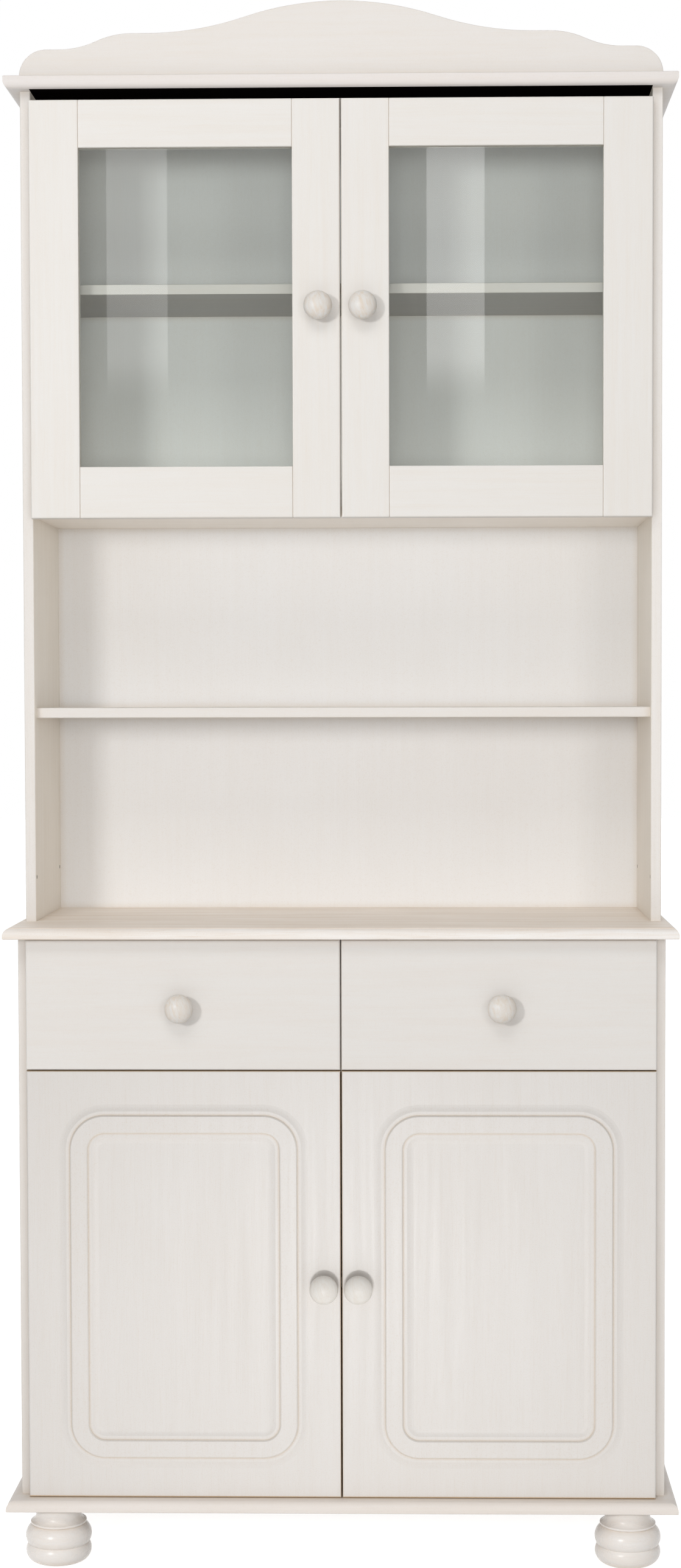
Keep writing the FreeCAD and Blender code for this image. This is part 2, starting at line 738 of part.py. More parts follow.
# Knobs
def knob(x, front_y, z):
    waist = V(knob_waist_shares[0] * knob_radius, -knob_waist_shares[1] * knob_length, 0)
    foot = V(knob_foot_share * knob_radius, 0, 0)
    ball_middle = knob_length - knob_ball_half_depth
    neck_y = knob_neck_shares[1] * knob_ball_half_depth - ball_middle
    neck = V(knob_neck_shares[0] * knob_radius, neck_y, 0)
    tip = V(0, -knob_length, 0)
    widest = V(knob_radius, -ball_middle, 0)
    ball = Part.Ellipse(widest, tip, V(0, -ball_middle, 0))
    arc = Part.ArcOfEllipse(ball, ball.parameter(neck), ball.parameter(tip)).toBSpline().toShape()
    neck_end, tip_end = [vertex.Point for vertex in arc.Vertexes]
    edges = [
        Part.LineSegment(V(0, 0, 0), foot).toShape(),
        Part.Arc(foot, waist, neck_end).toShape(),
        arc,
        Part.LineSegment(tip_end, V(0, 0, 0)).toShape()]
    body = Part.Face(Part.Wire(edges)).revolve(V(0, 0, 0), backward, 360)
    hole_length = knob_screw_grip + knob_screw_end_gap
    hole = rod(V(0, 0, 0), forward, knob_screw_radius + knob_screw_gap, hole_length)
    return body.cut(hole).translated(V(x, front_y, z))


def knob_screw(x, back_plane_y, front_y, z):
    length = back_plane_y - front_y + knob_screw_grip
    start = V(x, back_plane_y, z)
    shank = rod(start, forward, knob_screw_radius, length)
    head = rod(start + backward * knob_screw_head_height, forward,
               knob_screw_head_radius, knob_screw_head_height)
    return joined([head, shank])


def knob_screw_hole(x, back_plane_y, front_y, z):
    return rod(V(x, back_plane_y, z), forward, knob_screw_radius + knob_screw_gap, back_plane_y - front_y)


def save_pair(name, shape):
    save(name.replace("SIDE", "right"), shape)
    save(name.replace("SIDE", "left"), mirrored(shape))


def save_group_pair(name, shapes):
    save_group(name.replace("SIDE", "right"), shapes)
    save_group(name.replace("SIDE", "left"), [mirrored(shape) for shape in shapes])


# Glazed doors
glass_low_z = upper_door_z + upper_bottom_rail_height
glass_high_z = upper_door_top_z - upper_top_rail_height
hinge_stile_x = door_outer_x - upper_hinge_stile_width
closing_stile_x = door_inner_x + upper_closing_stile_width
rebate_y = upper_door_front_y + rebate_front_inset
rebate = block(
    closing_stile_x - rebate_width, hinge_stile_x + rebate_width, rebate_y, upper_door_back_y,
    glass_low_z - rebate_width, glass_high_z + rebate_width)


def tenon(stile_x, way, z_low, z_high, end_gap):
    front = upper_door_front_y + tenon_front_inset
    end_x = stile_x + way * (tenon_length + end_gap)
    return block(stile_x, end_x, front, front + tenon_thickness, z_low, z_high)


top_tenon_zs = (glass_high_z + tenon_shoulder_width, upper_door_top_z - tenon_shoulder_width)
bottom_tenon_zs = (upper_door_z + tenon_shoulder_width, glass_low_z - tenon_shoulder_width)


def stile(outer_x, inner_x, way):
    piece = block(outer_x, inner_x, upper_door_front_y, upper_door_back_y, upper_door_z, upper_door_top_z)
    front = upper_door_front_y
    piece = eased(piece, door_edge_radius, [
        [("X", outer_x), ("Y", front)], [("Y", front), ("Z", upper_door_z)],
        [("Y", front), ("Z", upper_door_top_z)]])
    piece = eased(piece, door_seam_radius, [[("X", inner_x), ("Y", front)]])
    piece = eased(piece, door_back_radius, [[("X", outer_x), ("Y", upper_door_back_y)]])
    mortises = [tenon(inner_x, way, *zs, mortise_end_gap) for zs in (top_tenon_zs, bottom_tenon_zs)]
    return without(piece, [rebate] + mortises)


def rail(z_low, z_high, outer_z, inner_z, tenon_zs):
    front = upper_door_front_y
    piece = block(closing_stile_x, hinge_stile_x, front, upper_door_back_y, z_low, z_high)
    piece = eased(piece, door_edge_radius, [[("Y", front), ("Z", outer_z)]])
    piece = eased(piece, door_seam_radius, [
        [("Y", front), ("Z", inner_z)], [("Y", front), ("X", closing_stile_x)],
        [("Y", front), ("X", hinge_stile_x)]])
    ends = [tenon(closing_stile_x, -1, *tenon_zs, 0), tenon(hinge_stile_x, 1, *tenon_zs, 0)]
    return joined([piece.cut(rebate)] + ends)


upper_knob_x = door_inner_x + upper_knob_inset
upper_knob_z = upper_door_z + upper_knob_height
hinge_stile = stile(door_outer_x, hinge_stile_x, 1)
flange_bores = []
flange_screws = []
for pin in upper_pins:
    hinge_stile = without(hinge_stile, hinge_pocket(pin))
    flange_bores += [hinge_screw_bore(point, forward) for point in flange_screw_points(pin)]
    flange_screws += [hinge_screw(point, forward) for point in flange_screw_points(pin)]
hinge_stile = without(hinge_stile, flange_bores)
save_pair("upper_door_SIDE_hinge_stile", single(hinge_stile))

closing_stile = stile(door_inner_x, closing_stile_x, -1)
closing_stile = closing_stile.cut(
    knob_screw_hole(upper_knob_x, upper_door_back_y, upper_door_front_y, upper_knob_z))
save_pair("upper_door_SIDE_closing_stile", single(closing_stile))

top_rail = rail(glass_high_z, upper_door_top_z, upper_door_top_z, glass_high_z, top_tenon_zs)
bottom_rail = rail(upper_door_z, glass_low_z, upper_door_z, glass_low_z, bottom_tenon_zs)
save_pair("upper_door_SIDE_top_rail", single(top_rail))
save_pair("upper_door_SIDE_bottom_rail", single(bottom_rail))

glass_left = closing_stile_x - rebate_width + glass_edge_gap
glass_right = hinge_stile_x + rebate_width - glass_edge_gap
glass_back_y = rebate_y + glass_thickness
pane = block(
    glass_left, glass_right, rebate_y, glass_back_y,
    glass_low_z - rebate_width + glass_edge_gap, glass_high_z + rebate_width - glass_edge_gap)
save_pair("upper_door_SIDE_glass", pane)

bead_low_z = glass_low_z - rebate_width
bead_high_z = glass_high_z + rebate_width


def bead_strip(x_a, x_b, z_low, z_high):
    return block(x_a, x_b, glass_back_y, upper_door_back_y, z_low, z_high)


beads = [
    bead_strip(closing_stile_x - rebate_width, closing_stile_x, bead_low_z, bead_high_z),
    bead_strip(hinge_stile_x, hinge_stile_x + rebate_width, bead_low_z, bead_high_z),
    bead_strip(closing_stile_x, hinge_stile_x, bead_low_z, glass_low_z),
    bead_strip(closing_stile_x, hinge_stile_x, glass_high_z, bead_high_z)]
save_group_pair("upper_door_SIDE_glazing_beads", beads)

save_pair("upper_door_SIDE_knob", single(knob(upper_knob_x, upper_door_front_y, upper_knob_z)))
upper_screw = knob_screw(upper_knob_x, upper_door_back_y, upper_door_front_y, upper_knob_z)
save_group_pair("upper_door_SIDE_screws", [upper_screw] + flange_screws)
save_group_pair("upper_door_SIDE_hinge_cups", [hinge_cup(pin) for pin in upper_pins])


# Lower doors: a plain leaf with a raised moulded band that follows a rounded rectangle
# The band's section, in distances across from its middle line and out from the leaf's face
def band_section(middle):
    flat = band_width / 2
    wall = flat + band_wall_width
    fillet = wall + band_fillet_width
    cove = fillet + band_cove_width
    top = band_cove_height + band_wall_height
    cove_half = band_cove_width / 2
    cove_sag_share = 0.25

    def at(across, out):
        return V(middle.x + across, lower_door_front_y - out, middle.z)

    def cove_arc(way):
        low = at(way * cove, 0)
        high = at(way * fillet, band_cove_height)
        via = at(way * (cove - cove_half), cove_sag_share * band_cove_height)
        return Part.Arc(low, via, high).toShape()

    lines = [
        (at(-fillet, band_cove_height), at(-wall, band_cove_height)),
        (at(-wall, band_cove_height), at(-flat, top)),
        (at(-flat, top), at(flat, top)),
        (at(flat, top), at(wall, band_cove_height)),
        (at(wall, band_cove_height), at(fillet, band_cove_height)),
        (at(cove, 0), at(cove, -band_root_depth)),
        (at(cove, -band_root_depth), at(-cove, -band_root_depth)),
        (at(-cove, -band_root_depth), at(-cove, 0))]
    edges = [Part.LineSegment(start, end).toShape() for start, end in lines]
    edges += [cove_arc(-1), cove_arc(1)]
    return Part.Wire(Part.sortEdges(edges)[0])


half_band = band_width / 2
band_x_a = door_inner_x + band_side_margin + half_band
band_x_b = lower_door_outer_x - band_side_margin - half_band
band_z_a = lower_door_z + band_bottom_margin + half_band
band_z_b = lower_door_top_z - band_top_margin - half_band


# Straight runs and quarter turns of the band, made one by one
def band_pieces():
    radius = band_outer_radius - half_band
    section_right = Part.Face(band_section(V(band_x_b, 0, band_z_a + radius)))
    section_left = Part.Face(band_section(V(band_x_a, 0, band_z_a + radius)))
    rise = V(0, 0, band_z_b - band_z_a - 2 * radius)
    pieces = [section_right.extrude(rise), section_left.extrude(rise)]
    across = V(band_x_b - band_x_a - 2 * radius, 0, 0)
    top_right = V(band_x_b - radius, 0, band_z_b - radius)
    top_left = V(band_x_a + radius, 0, band_z_b - radius)
    low_right = V(band_x_b - radius, 0, band_z_a + radius)
    low_left = V(band_x_a + radius, 0, band_z_a + radius)
    turns = [
        (section_right.translated(rise), top_right, -90),
        (section_left.translated(rise), top_left, 90),
        (section_right, low_right, 90),
        (section_left, low_left, -90)]
    for section, centre, angle in turns:
        pieces.append(section.revolve(centre, backward, angle))
    top = section_right.translated(rise).rotated(top_right, backward, -90)
    bottom = section_right.rotated(low_right, backward, 90)
    pieces.append(top.extrude(across * -1))
    pieces.append(bottom.extrude(across * -1))
    return pieces


leaf = block(
    door_inner_x, lower_door_outer_x, lower_door_front_y, lower_door_back_y, lower_door_z, lower_door_top_z)
leaf = eased(leaf, door_edge_radius, [
    [("X", door_inner_x), ("Y", lower_door_front_y)],
    [("X", lower_door_outer_x), ("Y", lower_door_front_y)],
    [("Y", lower_door_front_y), ("Z", lower_door_z)],
    [("Y", lower_door_front_y), ("Z", lower_door_top_z)]])
leaf = eased(leaf, door_back_radius, [[("X", lower_door_outer_x), ("Y", lower_door_back_y)]])
leaf = joined([leaf] + band_pieces())
lower_flange_screws = []
for pin in lower_pins:
    leaf = without(leaf, hinge_pocket(pin))
    leaf = without(leaf, [hinge_screw_bore(point, forward) for point in flange_screw_points(pin)])
    lower_flange_screws += [hinge_screw(point, forward) for point in flange_screw_points(pin)]
lower_knob_x = door_inner_x + lower_knob_inset
lower_knob_z = lower_door_top_z - lower_knob_top_inset
leaf = leaf.cut(knob_screw_hole(lower_knob_x, lower_door_back_y, lower_door_front_y, lower_knob_z))
save_pair("lower_door_SIDE_leaf", single(leaf))
save_pair("lower_door_SIDE_knob", single(knob(lower_knob_x, lower_door_front_y, lower_knob_z)))
lower_screw = knob_screw(lower_knob_x, lower_door_back_y, lower_door_front_y, lower_knob_z)
save_group_pair("lower_door_SIDE_screws", [lower_screw] + lower_flange_screws)
save_group_pair("lower_door_SIDE_hinge_cups", [hinge_cup(pin) for pin in lower_pins])

# Drawers
front_x_a = drawer_divider_half_gap
front_x_b = lower_door_outer_x
box_x_a = divider_face_x + drawer_side_gap
box_x_b = side_inner_x - drawer_side_gap
box_low_z = drawer_board_top_z + drawer_side_bottom_gap
box_high_z = box_low_z + drawer_side_height
box_back_y = panel_front_y - drawer_back_gap
bottom_z = box_low_z + drawer_bottom_height
bottom_top_z = bottom_z + drawer_bottom_thickness
housing_y = lower_door_back_y - drawer_housing_depth
drawer_knob_x = (front_x_a + front_x_b) / 2 + drawer_knob_middle_offset
drawer_knob_z = front_top_z - drawer_knob_top_inset


def drawer_side(x_a, x_b):
    return block(x_a, x_b, housing_y, box_back_y, box_low_z, box_high_z)


inner_side = drawer_side(box_x_a, box_x_a + drawer_side_thickness)
outer_side = drawer_side(box_x_b - drawer_side_thickness, box_x_b)
inside_x_a = box_x_a + drawer_side_thickness
inside_x_b = box_x_b - drawer_side_thickness
bottom_board = block(
    inside_x_a - drawer_bottom_groove_depth, inside_x_b + drawer_bottom_groove_depth,
    housing_y, box_back_y - drawer_back_inset, bottom_z, bottom_top_z)
back_y_a = box_back_y - drawer_back_inset - drawer_back_thickness
back_board = block(
    inside_x_a - drawer_back_housing_depth, inside_x_b + drawer_back_housing_depth,
    back_y_a, box_back_y - drawer_back_inset, bottom_top_z, box_high_z)


def runner_groove(x_a, x_b):
    return block(
        x_a, x_b, runner_front_y - runner_end_gap, box_back_y,
        runner_z - runner_gap, runner_z + runner_height + runner_gap)


groove_depth = runner_engagement_depth + runner_gap
inner_groove = runner_groove(box_x_a, box_x_a + groove_depth)
outer_groove = runner_groove(box_x_b, box_x_b - groove_depth)
drawer_front = block(front_x_a, front_x_b, drawer_front_y, lower_door_back_y, front_low_z, front_top_z)
drawer_front = eased(drawer_front, door_edge_radius, [
    [("X", front_x_a), ("Y", drawer_front_y)], [("X", front_x_b), ("Y", drawer_front_y)],
    [("Y", drawer_front_y), ("Z", front_low_z)], [("Y", drawer_front_y), ("Z", front_top_z)]])
drawer_front = without(drawer_front, [inner_side, outer_side, bottom_board])
drawer_front = drawer_front.cut(
    knob_screw_hole(drawer_knob_x, lower_door_back_y, drawer_front_y, drawer_knob_z))
save_pair("drawer_SIDE_front", single(drawer_front))

inner_board = without(inner_side, [bottom_board, back_board, inner_groove])
outer_board = without(outer_side, [bottom_board, back_board, outer_groove])
save_group_pair("drawer_SIDE_sides", [inner_board, outer_board])
save_pair("drawer_SIDE_back", back_board)
save_pair("drawer_SIDE_bottom", bottom_board)
save_pair("drawer_SIDE_knob", single(knob(drawer_knob_x, drawer_front_y, drawer_knob_z)))
drawer_screw = knob_screw(drawer_knob_x, lower_door_back_y, drawer_front_y, drawer_knob_z)
save_pair("drawer_SIDE_knob_screw", drawer_screw)
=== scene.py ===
import math

import bmesh
import bpy
from mathutils import Matrix, Vector


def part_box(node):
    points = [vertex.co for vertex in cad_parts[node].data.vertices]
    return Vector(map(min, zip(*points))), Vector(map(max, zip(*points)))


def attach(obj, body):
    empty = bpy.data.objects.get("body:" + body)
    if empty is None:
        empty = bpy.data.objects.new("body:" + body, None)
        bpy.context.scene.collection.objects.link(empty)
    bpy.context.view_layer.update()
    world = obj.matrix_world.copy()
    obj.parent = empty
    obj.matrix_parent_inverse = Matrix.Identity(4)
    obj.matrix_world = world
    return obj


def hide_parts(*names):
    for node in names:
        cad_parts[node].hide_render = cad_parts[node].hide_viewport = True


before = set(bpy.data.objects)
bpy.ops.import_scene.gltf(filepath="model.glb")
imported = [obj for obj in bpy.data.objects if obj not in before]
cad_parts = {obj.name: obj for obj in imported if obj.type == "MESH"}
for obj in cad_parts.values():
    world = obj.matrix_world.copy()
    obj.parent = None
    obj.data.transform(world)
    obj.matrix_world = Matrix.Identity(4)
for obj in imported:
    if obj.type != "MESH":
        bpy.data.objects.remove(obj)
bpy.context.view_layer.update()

# Kitchen buffet: cabinet with moulded doors and two drawers on bun feet, hutch with nook and glazed cupboard.
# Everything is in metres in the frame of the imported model, front towards -Y.
scene = bpy.context.scene
scene.view_settings.view_transform = "Standard"
mm = 0.001
perMetre = 1000  # over a size in millimetres it gives a texture scale
print("frame loaded:", len(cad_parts), "nodes")


def toLinear(hexColour):
    # the curve of the sRGB standard
    channels = []
    for start in (1, 3, 5):
        value = int(hexColour[start:start + 2], 16) / 255
        channels.append(value / 12.92 if value <= 0.04045 else ((value + 0.055) / 1.055) ** 2.4)
    return (*channels, 1.0)


white = toLinear("#FFFFFF")


def addNode(tree, kind, settings=None, inputs=None):
    # settings go on the node, inputs are values or (node, output) pairs
    node = tree.nodes.new(kind)
    for name, value in (settings or {}).items():
        setattr(node, name, value)
    for name, value in (inputs or {}).items():
        socket = node.inputs[name]
        if isinstance(value, tuple) and isinstance(value[0], bpy.types.Node):
            tree.links.new(value[0].outputs[value[1]], socket)
        else:
            socket.default_value = value
    return node


def newMaterial(name):
    material = bpy.data.materials.new(name)
    material.use_nodes = True
    material.node_tree.nodes.clear()
    return material, material.node_tree


def objectAxes(tree):
    # the piece's own X, Y and Z, apart
    place = addNode(tree, "ShaderNodeTexCoord")
    return addNode(tree, "ShaderNodeSeparateXYZ", {}, {"Vector": (place, "Object")})


# Camera, fitted to the photograph
cameraSpot = {
    "place": (0.1108, -3.32595, 1.0761),
    "right": (0.99981182, 0.01928567, -0.00209262),
    "up": (0.0012963, 0.04121088, 0.99914963),
    "forward": (-0.01935551, 0.99896433, -0.04117812),
    "focalPixels": 4264.4,
    "axisPixel": (624.0, 1324.4),
    "imageSize": (1118, 2576),
    "sensor": 36.0,
    "clip": (0.05, 60.0),
}
cameraData = bpy.data.cameras.new("buffetCamera")
camera = bpy.data.objects.new("buffetCamera", cameraData)
scene.collection.objects.link(camera)
scene.camera = camera
imageWidth, imageHeight = cameraSpot["imageSize"]
cameraData.sensor_width = cameraSpot["sensor"]
cameraData.lens = cameraSpot["focalPixels"] * cameraSpot["sensor"] / imageHeight
cameraData.shift_x = (imageWidth / 2 - cameraSpot["axisPixel"][0]) / imageHeight
cameraData.shift_y = (cameraSpot["axisPixel"][1] - imageHeight / 2) / imageHeight
cameraData.clip_start, cameraData.clip_end = cameraSpot["clip"]
sight = Matrix((cameraSpot["right"], cameraSpot["up"], -Vector(cameraSpot["forward"]))).transposed()
camera.matrix_world = Matrix.Translation(cameraSpot["place"]) @ sight.to_4x4()
print("camera set")

# What every painted or bare board has in common. Each mark fades in between two levels of its noise.
markLevels = {"streak": (0.38, 0.72), "pore": (0.52, 0.8), "cloud": (0.35, 0.7), "speck": (0.56, 0.74)}
boardLook = {
    "poreNoise": {"Detail": 3.0, "Roughness": 0.55},
    "streakNoise": {"Detail": 4.0, "Roughness": 0.6, "Distortion": 0.4},
    "cloudNoise": {"Detail": 2.0},
    "speckNoise": {"Detail": 1.0},
    "cornerOpen": 0.95, "cornerSamples": 4, "sheenLevels": (0.3, 0.75), "sheenSpread": (-0.05, 0.07),
    "ior": 1.47,
}
mixShare, mixFirst, mixSecond, mixResult = 0, 6, 7, 2  # sockets of a colour mix


# Paint on wood: a brushed satin coat that lets the grain show as faint warm streaks and fine furrows.
# Real pores and brush specks are finer than a pixel of the render, so they are drawn coarse enough to show.
def paintedWood(name, look):
    material, tree = newMaterial(name)
    place = addNode(tree, "ShaderNodeTexCoord")
    turned = addNode(tree, "ShaderNodeMapping", {}, {
        "Vector": (place, "Object"), "Rotation": [math.radians(angle) for angle in look["turn"]]})
    noises = {}
    for mark in ("streak", "pore"):
        # long along the grain, narrow across it
        sizes = [look[mark + ("Length" if axis == look["grain"] else "Width")] for axis in "xyz"]
        space = addNode(tree, "ShaderNodeMapping", {}, {
            "Vector": (turned, "Vector"), "Scale": [perMetre / size for size in sizes]})
        noises[mark] = addNode(tree, "ShaderNodeTexNoise", {}, {
            "Vector": (space, "Vector"), "Scale": 1.0, **boardLook[mark + "Noise"]})
    # broad clouds, and sparse fine specks where the brush skipped a pore
    for mark, scale in (("cloud", look["cloudScale"]), ("speck", perMetre / look["speckSize"])):
        noises[mark] = addNode(tree, "ShaderNodeTexNoise", {}, {
            "Vector": (place, "Object"), "Scale": scale, **boardLook[mark + "Noise"]})
    tones = []
    for mark, noise in noises.items():
        low, high = markLevels[mark]
        tones.append(addNode(tree, "ShaderNodeMapRange", {}, {
            "Value": (noise, "Fac"), "From Min": low, "From Max": high, "To Max": look[mark + "Tone"]}))
    # painted shade: corners and coves are drawn darker and warmer, where shade falls
    corners = addNode(tree, "ShaderNodeAmbientOcclusion", {"samples": boardLook["cornerSamples"]}, {
        "Distance": look["cornerReach"] * mm})
    tones.append(addNode(tree, "ShaderNodeMapRange", {}, {
        "Value": (corners, "AO"), "From Min": look["cornerShut"], "From Max": boardLook["cornerOpen"],
        "To Min": look["cornerTone"], "To Max": 0.0}))
    total = (tones[0], "Result")
    for tone in tones[1:]:
        both = addNode(tree, "ShaderNodeMath", {"operation": "ADD", "use_clamp": True}, {
            0: total, 1: (tone, "Result")})
        total = (both, "Value")
    coat = toLinear(look["paint"])
    if "face" in look:
        # painted light and shade: one face of the board is drawn in another tone
        face = look["face"]
        beyond = addNode(tree, "ShaderNodeMath", {"operation": face["side"]}, {
            0: (objectAxes(tree), face["axis"]), 1: face["limit"]})
        coats = addNode(tree, "ShaderNodeMix", {"data_type": "RGBA"}, {
            mixShare: (beyond, "Value"), mixFirst: coat, mixSecond: toLinear(face["paint"])})
        coat = (coats, mixResult)
    colour = addNode(tree, "ShaderNodeMix", {"data_type": "RGBA"}, {
        mixShare: total, mixFirst: coat, mixSecond: toLinear(look["under"])})
    heights = addNode(tree, "ShaderNodeMath", {"operation": "ADD"}, {
        0: (noises["pore"], "Fac"), 1: (noises["streak"], "Fac")})
    furrows = addNode(tree, "ShaderNodeBump", {}, {
        "Height": (heights, "Value"), "Strength": look["furrow"], "Distance": look["furrowDepth"] * mm})
    lowLevel, highLevel = boardLook["sheenLevels"]
    smoother, rougher = boardLook["sheenSpread"]
    sheen = addNode(tree, "ShaderNodeMapRange", {}, {
        "Value": (noises["streak"], "Fac"), "From Min": lowLevel, "From Max": highLevel,
        "To Min": look["roughness"] + smoother, "To Max": look["roughness"] + rougher})
    surface = addNode(tree, "ShaderNodeBsdfPrincipled", {}, {
        "Base Color": (colour, mixResult), "Roughness": (sheen, "Result"), "Normal": (furrows, "Normal"),
        "IOR": boardLook["ior"], "Specular IOR Level": look["specular"]})
    addNode(tree, "ShaderNodeOutputMaterial", {}, {"Surface": (surface, "BSDF")})
    return material


paintLook = {
    "grain": "z", "turn": (0, 0, 0), "poreWidth": 1.6, "poreLength": 40.0, "streakWidth": 9.0,
    "streakLength": 260.0, "cloudScale": 5.0, "speckSize": 1.3,
    "streakTone": 0.11, "poreTone": 0.10, "cloudTone": 0.06, "speckTone": 0.13,
    "cornerReach": 9.0, "cornerShut": 0.45, "cornerTone": 0.35,
    "paint": "#E9E5E1", "under": "#CDBCA6", "furrow": 0.25, "furrowDepth": 0.3,
    "roughness": 0.42, "specular": 0.35,
}


def paint(name, **changes):
    return paintedWood(name, {**paintLook, **changes})


# painted light and shade: the buffet's one white paint is given a lighter or darker tone on each kind of piece
# below, to even out how the lamps fall on them
uprightPaint = paint("satinPaintOnPineSides", paint="#EBE7E1", cornerTone=0.2)  # board between the drawers
# on the frames of the glazed doors the grain runs along each stile and rail, and shows where they meet
stilePaint = paint("satinPaintOnPineStiles", paint="#D8D5D1")
railPaint = paint("satinPaintOnPineRails", grain="x", paint="#D8D5D1")
# painted light: the level boards are drawn paler, as the light only grazes them
levelPaint = paint("satinPaintOnPineBoards", grain="x", paint="#F6EFE6")
edgePaint = paint("satinPaintOnNookShelfAndPediment", grain="x", paint="#D5D1CD")
# dull, with painted shade that draws it dark inside the cupboard, apart from the shelf's front
shelfPaint = paint(
    "satinPaintOnCupboardShelf", grain="x", paint="#9D9A97",
    face={"axis": "Y", "side": "LESS_THAN", "limit": -0.0302, "paint": "#CAC5C1"})  # its front edge
# thin on the worktop, so that its streaks are the strongest; its top is drawn paler as painted light from above
worktopPaint = paint(
    "satinPaintOnWorktop", grain="x", paint="#E1DEDB", under="#C6AD90", streakTone=0.34, poreTone=0.25,
    streakWidth=12.0, cloudTone=0.1,
    face={"axis": "Z", "side": "GREATER_THAN", "limit": 0.7948, "paint": "#F6EDE3"})  # its top
# broad faint streaks across the drawer fronts
drawerPaint = paint("satinPaintOnDrawerFronts", grain="x", paint="#D5D2CE", under="#CDBBAC", streakWidth=14.0)
# thick and nearly even on the lower doors, with strong warm painted shade along the mouldings
leafPaint = paint(
    "satinPaintOnMouldedDoors", paint="#DEDAD6", under="#BFA582", streakTone=0.03, poreTone=0.08, cloudTone=0.03,
    speckTone=0.14, cornerReach=3.2, cornerShut=0.7, cornerTone=0.95)
basePaint = paint("satinPaintOnBaseBoard", grain="x", paint="#DED7D1")
cabinetSidePaint = paint("satinPaintOnCabinetSides", paint="#E4DFDA", cornerTone=0.2)
# painted light and shade: the hutch sides are drawn paler than the other boards, and their front edges darker,
# to even out how the lamps fall on them
hutchSidePaint = paint(
    "satinPaintOnHutchSides", paint="#F4EEE4", cornerTone=0.2,
    face={"axis": "Y", "side": "LESS_THAN", "limit": -0.0562, "paint": "#E7E3DF"})  # its front edge
cornicePaint = paint("satinPaintOnCornice", grain="x", paint="#D5D0CD")
# flat and even on the back panels, which have no grain
backPaint = paint("satinPaintOnHardboard", poreTone=0.03, streakTone=0.04, cloudTone=0.06, paint="#E7E6E5")
# thin on the turned knobs, so that the wood's streaks show through, less on the lower pair
knobLook = {
    "turn": (0, 14, 0), "under": "#C9B193", "streakWidth": 3.4, "streakLength": 60.0, "streakTone": 0.45,
    "poreWidth": 0.7, "poreTone": 0.25, "roughness": 0.36,
}
highKnobPaint = paint("thinPaintOnUpperKnobs", **{**knobLook, "paint": "#D2D0CD"})
lowKnobPaint = paint("thinPaintOnLowerKnobs", **{
    **knobLook, "paint": "#E2DFDA", "streakTone": 0.16, "poreTone": 0.1})
# glossier on the turned feet, with soft streaks
footPaint = paint(
    "satinPaintOnTurnedFeet", grain="x", paint="#E5E1DD", under="#D8C6B2", streakTone=0.2, roughness=0.27,
    specular=0.5)


# A patch of painted shade on part of a painted piece: mask is the (node, output) pair that is 1 there
def darkPatch(material, mask, colour):
    tree = material.node_tree
    output = next(node for node in tree.nodes if node.type == "OUTPUT_MATERIAL")
    surface = next(node for node in tree.nodes if node.type == "BSDF_PRINCIPLED")
    dark = addNode(tree, "ShaderNodeBsdfDiffuse", {}, {"Color": toLinear(colour)})
    both = addNode(tree, "ShaderNodeMixShader", {}, {0: mask, 1: (surface, "BSDF"), 2: (dark, "BSDF")})
    tree.links.new(both.outputs["Shader"], output.inputs["Surface"])


def maskWithin(tree, limits):
    # 1 where each source is on its side of its limit
    mask = 1.0
    for source, side, limit in limits:
        part = addNode(tree, "ShaderNodeMath", {"operation": side}, {0: source, 1: limit})
        both = addNode(tree, "ShaderNodeMath", {"operation": "MULTIPLY"}, {0: mask, 1: (part, "Value")})
        mask = (both, "Value")
    return mask


# Painted shade on the imported cornice: a near-black strip on its underside stands for the deep shade in the
# slot over the glazed doors
def slotMask(tree, look):
    axes = objectAxes(tree)
    width = addNode(tree, "ShaderNodeMath", {"operation": "ABSOLUTE"}, {0: (axes, "X")})
    return maskWithin(tree, [
        ((width, "Value"), "LESS_THAN", look["halfWidth"]), ((axes, "Z"), "LESS_THAN", look["topZ"]),
        ((axes, "Y"), "GREATER_THAN", look["frontY"]), ((axes, "Y"), "LESS_THAN", look["backY"])])


# The peg holes low in the nook's sides are drawn near-black inside: their bare wood, darkened with painted shade
def pegHoleMask(tree, look):
    axes = objectAxes(tree)
    fromMiddle = addNode(tree, "ShaderNodeMath", {"operation": "SUBTRACT"}, {
        0: (axes, "Y"), 1: look["middleY"]})
    eitherWay = addNode(tree, "ShaderNodeMath", {"operation": "ABSOLUTE"}, {0: (fromMiddle, "Value")})
    across = addNode(tree, "ShaderNodeMath", {"operation": "SUBTRACT"}, {
        0: (eitherWay, "Value"), 1: look["halfGap"]})
    rise = addNode(tree, "ShaderNodeMath", {"operation": "SUBTRACT"}, {0: (axes, "Z"), 1: look["z"]})
    offset = addNode(tree, "ShaderNodeCombineXYZ", {}, {"X": (across, "Value"), "Y": (rise, "Value")})
    reach = addNode(tree, "ShaderNodeVectorMath", {"operation": "LENGTH"}, {0: (offset, "Vector")})
    width = addNode(tree, "ShaderNodeMath", {"operation": "ABSOLUTE"}, {0: (axes, "X")})
    return maskWithin(tree, [
        ((reach, "Value"), "LESS_THAN", look["radius"]),
        ((width, "Value"), "GREATER_THAN", look["faceX"]), ((width, "Value"), "LESS_THAN", look["endX"])])


# painted shade: a near-black strip on the cornice's underside over the glazed doors
slotLook = {"halfWidth": 0.3875, "topZ": 1.836, "frontY": -0.0705, "backY": -0.012, "colour": "#0B0807"}
darkPatch(cornicePaint, slotMask(cornicePaint.node_tree, slotLook), slotLook["colour"])
pegHoleLook = {
    "middleY": 0.05425, "halfGap": 0.101, "z": 0.8515, "radius": 0.0029, "faceX": 0.38805, "endX": 0.3995,
    "colour": "#1E1510",
}
darkPatch(hutchSidePaint, pegHoleMask(hutchSidePaint.node_tree, pegHoleLook), pegHoleLook["colour"])


